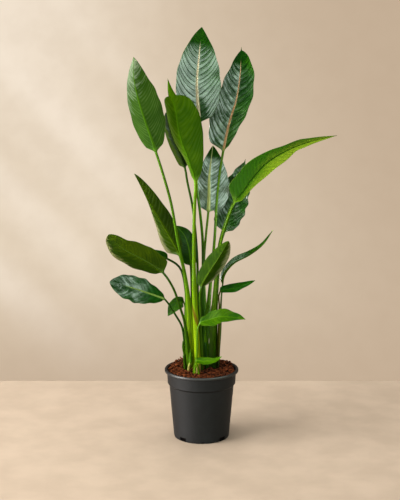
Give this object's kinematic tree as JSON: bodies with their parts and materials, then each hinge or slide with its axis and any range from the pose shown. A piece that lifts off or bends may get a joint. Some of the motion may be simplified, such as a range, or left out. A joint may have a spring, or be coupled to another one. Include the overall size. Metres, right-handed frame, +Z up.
{
  "type": "potted bird of paradise",
  "caption": "Tall upright foliage plant with long-stalked paddle leaves, standing in a round black nursery pot of potting mix.",
  "frame": {"origin": "centre of the pot's flat underside, where it stands on the ground", "axes": "+Z up along the pot's axis and the plant's height, -Y towards the front of the plant, +X to the right seen from the front"},
  "size_m": [0.6304, 0.2166, 1.1541],
  "materials": {
    "pot": "satin black moulded polypropylene",
    "soil": "loose reddish-brown coir chips, matte",
    "leaf_deep": "upper side of a leaf, deep green, glossy",
    "leaf_green": "mid green leaf, satin",
    "leaf_bright": "yellow-green underside and stalks, satin",
    "leaf_olive": "olive underside of a leaf, satin"
  },
  "bodies": {
    "root": {"pot": "pot", "soil": "soil", "leaf_top": "leaf_deep", "leaf_upper_right": "leaf_deep", "leaf_upper_left": "leaf_green", "leaf_upper_front": "leaf_bright", "leaf_upper_rolled": "leaf_olive", "leaf_mid_back": "leaf_deep", "leaf_mid_right_back": "leaf_deep", "leaf_long_right": "leaf_bright", "leaf_left_narrow": "leaf_olive", "leaf_left_inner": "leaf_deep", "leaf_left_broad": "leaf_olive", "leaf_left_hidden": "leaf_olive", "leaf_left_glossy": "leaf_deep", "leaf_left_small": "leaf_green", "leaf_front_folded": "leaf_olive", "leaf_right_narrow": "leaf_green", "leaf_right_small": "leaf_green", "leaf_front_low": "leaf_green", "leaf_soil_low": "leaf_bright", "sheath_left": "leaf_bright", "sheath_front": "leaf_bright", "sheath_mid": "leaf_bright", "sheath_back": "leaf_deep"}
  },
  "joints": []
}
